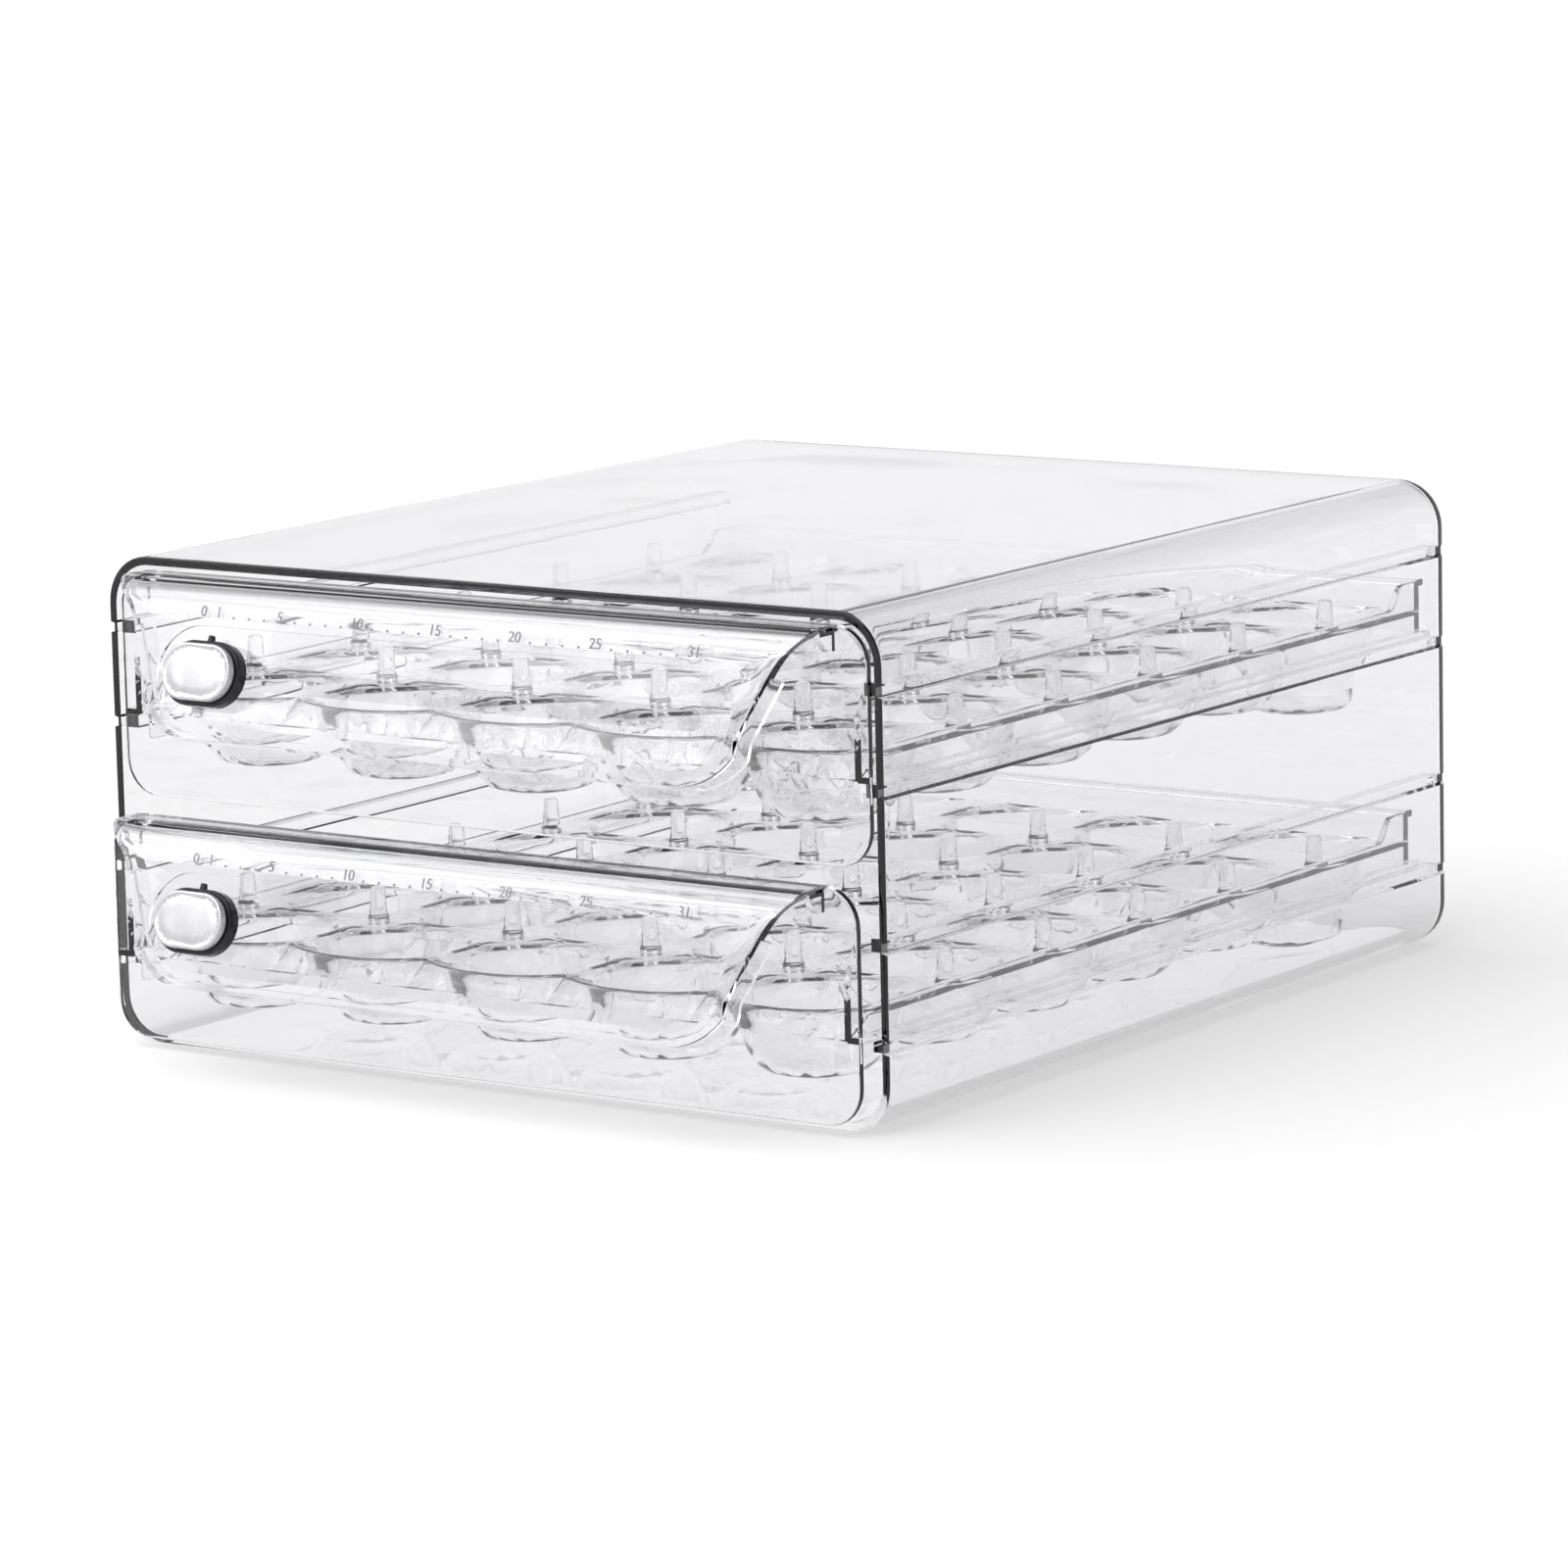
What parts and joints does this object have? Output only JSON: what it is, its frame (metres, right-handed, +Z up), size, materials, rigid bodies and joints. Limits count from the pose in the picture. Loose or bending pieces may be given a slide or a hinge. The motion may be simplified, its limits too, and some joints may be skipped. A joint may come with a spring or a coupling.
{
  "type": "egg holder tray",
  "caption": "Clear rectangular case with stacked sliding egg drawers, each with moulded cups, a slanted finger-pull apron and a sliding oval date marker.",
  "frame": {"origin": "centre of the case's underside", "axes": "+Z up, +X to the right of someone facing the drawers, +Y from the drawer fronts to the closed back"},
  "size_m": [0.248, 0.316, 0.1315],
  "materials": {
    "clear_plastic": "clear, glossy, very slightly grey",
    "satin_silver": "satin silver plating with a bright rim",
    "dark_chrome": "black chrome, glossy",
    "frosted_plastic": "frosted white, translucent"
  },
  "bodies": {
    "case": {"case": "clear_plastic"},
    "upper_drawer": {"upper_front": "clear_plastic", "upper_side_frame": "clear_plastic", "upper_egg_sheet": "clear_plastic"},
    "lower_drawer": {"lower_front": "clear_plastic", "lower_side_frame": "clear_plastic", "lower_egg_sheet": "clear_plastic"},
    "upper_marker": {"upper_marker_shoe": "dark_chrome", "upper_marker_cap": "satin_silver", "upper_marker_clip": "frosted_plastic"},
    "lower_marker": {"lower_marker_shoe": "dark_chrome", "lower_marker_cap": "satin_silver", "lower_marker_clip": "frosted_plastic"}
  },
  "joints": [
    {"name": "upper_drawer_slide", "type": "slide", "parent": "case", "child": "upper_drawer", "axis": [0, -1, 0], "range_m": [0, 0.2]},
    {"name": "lower_drawer_slide", "type": "slide", "parent": "case", "child": "lower_drawer", "axis": [0, -1, 0], "range_m": [-0.007, 0.193]},
    {"name": "upper_marker_slide", "type": "slide", "parent": "upper_drawer", "child": "upper_marker", "axis": [1, 0, 0], "range_m": [-0.00507, 0.1521]},
    {"name": "lower_marker_slide", "type": "slide", "parent": "lower_drawer", "child": "lower_marker", "axis": [1, 0, 0], "range_m": [-0.00507, 0.1521]}
  ]
}
